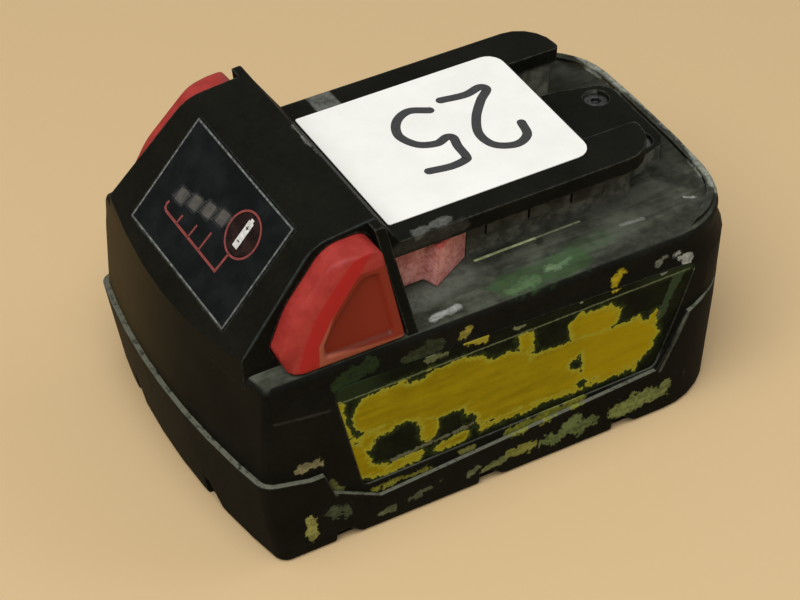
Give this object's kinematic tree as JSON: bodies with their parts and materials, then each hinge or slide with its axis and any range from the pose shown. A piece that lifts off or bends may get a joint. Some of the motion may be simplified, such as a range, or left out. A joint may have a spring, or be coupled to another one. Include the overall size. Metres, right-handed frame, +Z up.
{
  "type": "slide-on tool battery pack",
  "caption": "Slide-on battery pack for cordless tools: black two-part housing, slide rail, red sprung release latches, sloped charge gauge, cylindrical cells inside.",
  "frame": {"origin": "under the middle of the base, on the surface that the pack stands on", "axes": "+Y along the slide, towards the terminal end; +X to the right-hand latch; +Z up"},
  "size_m": [0.08, 0.1328, 0.08],
  "materials": {
    "housing_black": "moulded nylon, worn satin",
    "latch_red": "moulded, scuffed",
    "gauge_overlay": "printed film, satin",
    "lens_grey": "translucent, frosted",
    "board_green": "solder mask",
    "lamp_white": "clear cap",
    "spring_steel": "drawn wire",
    "carrier_grey": "moulded",
    "chip_black": "moulded",
    "holder_black": "moulded",
    "screw_steel": "zinc plated",
    "label_yellow": "brushed paint over film, flaking",
    "label_white": "satin film",
    "cell_wrap": "shrink sleeve",
    "strap_nickel": "rolled strip",
    "contact_copper": "bent strip"
  },
  "bodies": {
    "pack": {"lower_housing": "housing_black", "upper_housing": "housing_black", "gauge_panel": "gauge_overlay", "gauge_lenses": "lens_grey", "gauge_board": "board_green", "gauge_lamps": "lamp_white", "gauge_switch": "spring_steel", "latch_spring_right": "spring_steel", "latch_spring_left": "spring_steel", "cell_carrier_right": "carrier_grey", "cell_carrier_left": "carrier_grey", "main_board": "board_green", "board_parts": "chip_black", "terminal_holder": "holder_black", "housing_screws": "screw_steel", "side_label_right": "label_yellow", "side_label_left": "label_yellow", "asset_label": "label_white", "cell_1": "cell_wrap", "cell_2": "cell_wrap", "cell_3": "cell_wrap", "cell_4": "cell_wrap", "cell_5": "cell_wrap", "cell_6": "cell_wrap", "cell_7": "cell_wrap", "cell_8": "cell_wrap", "cell_9": "cell_wrap", "cell_10": "cell_wrap", "strap_right_1": "strap_nickel", "strap_right_2": "strap_nickel", "strap_right_3": "strap_nickel", "strap_left_1": "strap_nickel", "strap_left_2": "strap_nickel", "strap_left_3": "strap_nickel", "terminal_contact_1": "contact_copper", "terminal_contact_2": "contact_copper", "terminal_contact_3": "contact_copper", "terminal_contact_4": "contact_copper", "terminal_contact_5": "contact_copper"},
    "latch_right": {"release_latch_right": "latch_red"},
    "latch_left": {"release_latch_left": "latch_red"},
    "gauge_key": {"gauge_button": "gauge_overlay"}
  },
  "joints": [
    {"name": "latch_right_press", "type": "slide", "parent": "pack", "child": "latch_right", "axis": [-1, 0, 0], "range_m": [0, 0.005], "stiffness_N_per_m": 1200, "springref_m": -0.002, "deforming": ["latch_spring_right"]},
    {"name": "latch_left_press", "type": "slide", "parent": "pack", "child": "latch_left", "axis": [1, 0, 0], "range_m": [0, 0.005], "stiffness_N_per_m": 1200, "springref_m": -0.002, "deforming": ["latch_spring_left"]},
    {"name": "gauge_button_press", "type": "slide", "parent": "pack", "child": "gauge_key", "axis": [0, 0.7716, -0.6361], "range_m": [0, 0.0006], "stiffness_N_per_m": 2500, "springref_m": -0.0003}
  ]
}
